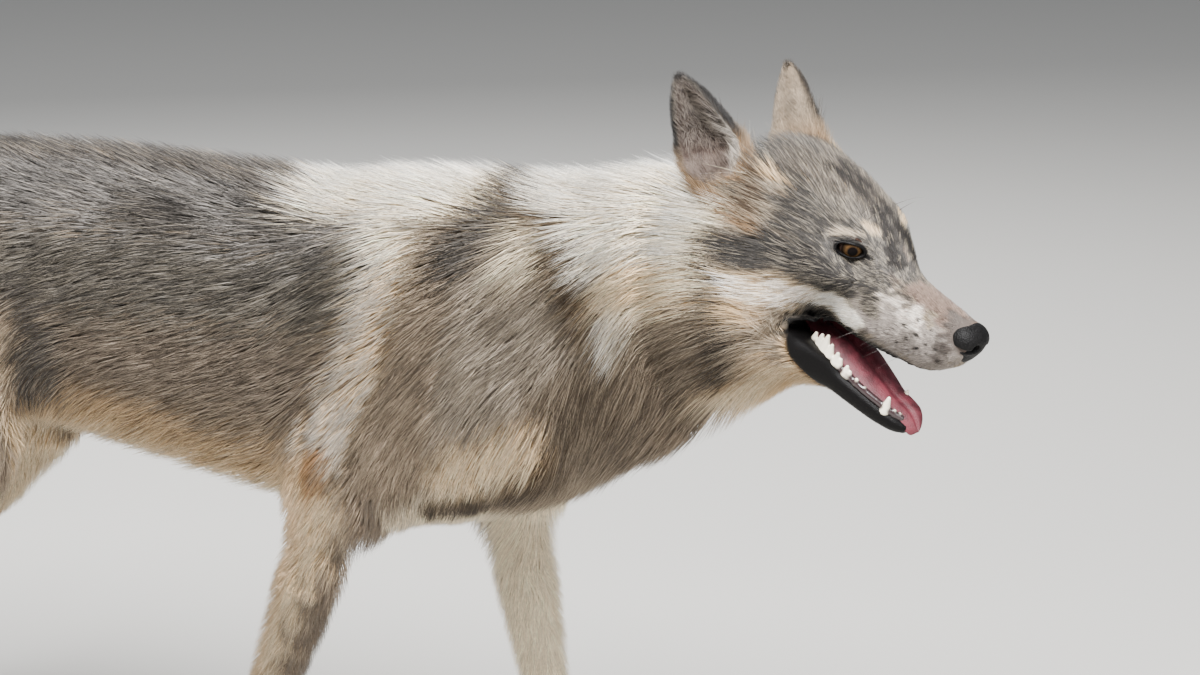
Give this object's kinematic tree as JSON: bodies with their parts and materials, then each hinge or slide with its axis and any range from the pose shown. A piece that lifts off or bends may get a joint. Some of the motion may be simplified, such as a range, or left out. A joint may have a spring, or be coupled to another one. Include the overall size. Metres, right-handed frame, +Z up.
{
  "type": "grey wolf",
  "caption": "Life-size still model of a grey wolf in a slow walk, head lowered and mouth open.",
  "frame": {"origin": "middle of the footprint of the whole wolf, on the floor under its paws", "axes": "+X the way the wolf walks, +Y its left side, +Z up"},
  "size_m": [1.4156, 0.2944, 0.8362],
  "materials": {
    "coat_grey": "dense grey fur, banded black and cream",
    "coat_cream": "short cream and tan fur",
    "lip": "dark moist lip skin and short fur",
    "nose": "black pebbled nose skin, moist",
    "tongue": "wet pink flesh",
    "tooth": "ivory tooth enamel",
    "eye": "wet amber eye with a dark pupil"
  },
  "bodies": {
    "root": {"head": "coat_grey", "neck": "coat_grey", "torso": "coat_grey", "rump": "coat_grey", "tail": "coat_grey", "ear_left": "coat_grey", "ear_right": "coat_grey", "foreleg_left": "coat_cream", "foreleg_right": "coat_cream", "forepaw_left": "coat_cream", "forepaw_right": "coat_cream", "hindleg_left": "coat_cream", "hindleg_right": "coat_cream", "hindpaw_left": "coat_cream", "hindpaw_right": "coat_cream", "jaw": "lip", "nose": "nose", "tongue": "tongue", "lower_teeth": "tooth", "eye_left": "eye", "eye_right": "eye"}
  },
  "joints": []
}
